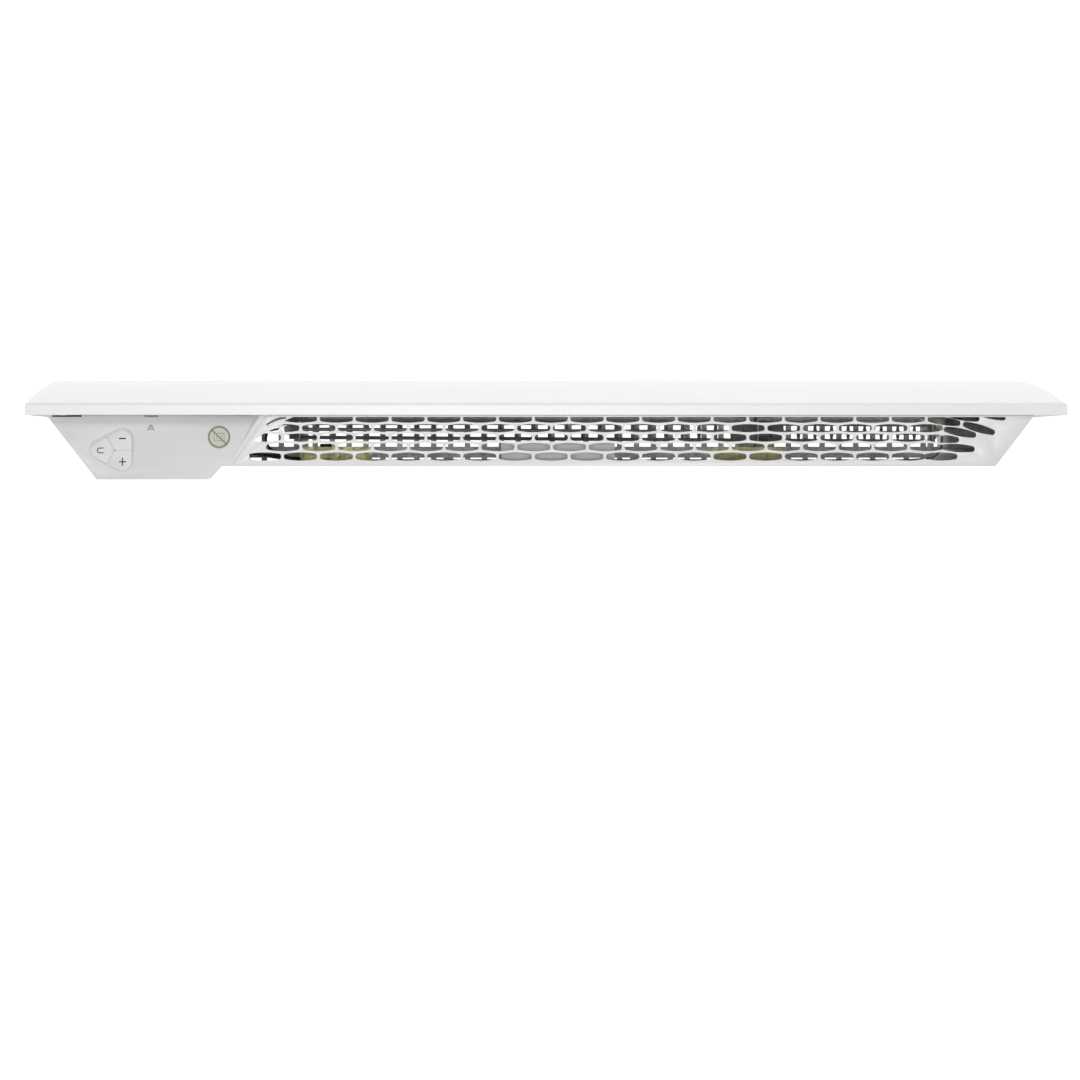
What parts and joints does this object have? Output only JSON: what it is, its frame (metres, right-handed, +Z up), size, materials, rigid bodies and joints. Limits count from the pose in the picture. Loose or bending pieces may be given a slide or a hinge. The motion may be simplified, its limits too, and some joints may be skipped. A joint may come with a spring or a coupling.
{
  "type": "wall convector heater",
  "caption": "Wall-hung electric panel convector with a bowed front, a barrel-hole top grille, slotted base, finned element and a keypad on top of one end.",
  "frame": {"origin": "on the floor of the bounding box, under the middle of the heater, halfway between the foremost line of the bowed front and the wall plane", "axes": "+Z up, the front faces -Y, the wall is at +Y, +X is to the right seen from the front"},
  "size_m": [1, 0.1028, 0.575],
  "materials": {
    "white_panel": "satin powder coat",
    "white_casing": "satin powder coat",
    "white_plastic": "fine moulded texture",
    "key_plastic": "soft matt",
    "galvanised": "galvanised, dull",
    "element_aluminium": "oxidised",
    "element_steel": "heat-tinted",
    "white_ceramic": "unglazed",
    "mica": "pressed mica, dull",
    "black_plastic": "moulded",
    "grey_plastic": "moulded",
    "dark_window": "polished",
    "board_green": "solder mask",
    "cap_yellow": "moulded",
    "zinc_screw": "zinc plated",
    "yellow_zinc": "yellow chromate zinc",
    "spring_steel": "bright drawn",
    "black_rubber": "matt",
    "wire_brown": "sleeved",
    "wire_grey": "sleeved",
    "wire_black": "sleeved",
    "plate_silver": "blank foil"
  },
  "bodies": {
    "heater": {"front_panel": "white_panel", "panel_screws": "zinc_screw", "rear_casing": "white_casing", "bottom_grille": "galvanised", "inner_front_plate": "galvanised", "end_baffle": "galvanised", "heat_shield": "galvanised", "top_grille": "white_casing", "element_body": "element_aluminium", "element_rod": "element_steel", "element_insulators": "white_ceramic", "element_terminals": "zinc_screw", "element_supports": "galvanised", "mica_blocks": "mica", "thermal_cutout": "black_plastic", "cutout_bracket": "galvanised", "control_housing": "white_plastic", "control_fascia": "white_plastic", "key_board": "board_green", "key_switches": "black_plastic", "display_window": "dark_window", "sensor_window": "dark_window", "power_board": "board_green", "board_screws": "zinc_screw", "power_relay": "black_plastic", "capacitor": "cap_yellow", "terminal_block": "white_plastic", "terminal_screws": "zinc_screw", "cable_gland": "black_plastic", "wire_grommet": "black_rubber", "live_wire": "wire_brown", "element_wire": "wire_brown", "return_wire": "wire_grey", "wire_clips": "grey_plastic", "temperature_probe": "black_plastic", "probe_holder": "grey_plastic", "probe_wire": "wire_black", "hook_left": "yellow_zinc", "hook_right": "yellow_zinc", "hook_rivets": "zinc_screw", "latch_housing": "grey_plastic", "latch_spring": "spring_steel", "rating_plate": "plate_silver"},
    "power_key": {"power_key": "key_plastic"},
    "minus_key": {"minus_key": "key_plastic"},
    "plus_key": {"plus_key": "key_plastic"},
    "latch": {"latch_bolt": "yellow_zinc"}
  },
  "joints": [
    {"name": "power_key_press", "type": "slide", "parent": "heater", "child": "power_key", "axis": [0, 0.0993, -0.9951], "range_m": [0, 0.0006], "stiffness_N_per_m": 1500, "springref_m": -0.0008},
    {"name": "minus_key_press", "type": "slide", "parent": "heater", "child": "minus_key", "axis": [0, 0.0993, -0.9951], "range_m": [0, 0.0006], "stiffness_N_per_m": 1500, "springref_m": -0.0008},
    {"name": "plus_key_press", "type": "slide", "parent": "heater", "child": "plus_key", "axis": [0, 0.0993, -0.9951], "range_m": [0, 0.0006], "stiffness_N_per_m": 1500, "springref_m": -0.0008},
    {"name": "latch_lift", "type": "slide", "parent": "heater", "child": "latch", "axis": [0, 0, 1], "range_m": [0, 0.006], "stiffness_N_per_m": 600, "springref_m": -0.004, "deforming": ["latch_spring"]}
  ]
}
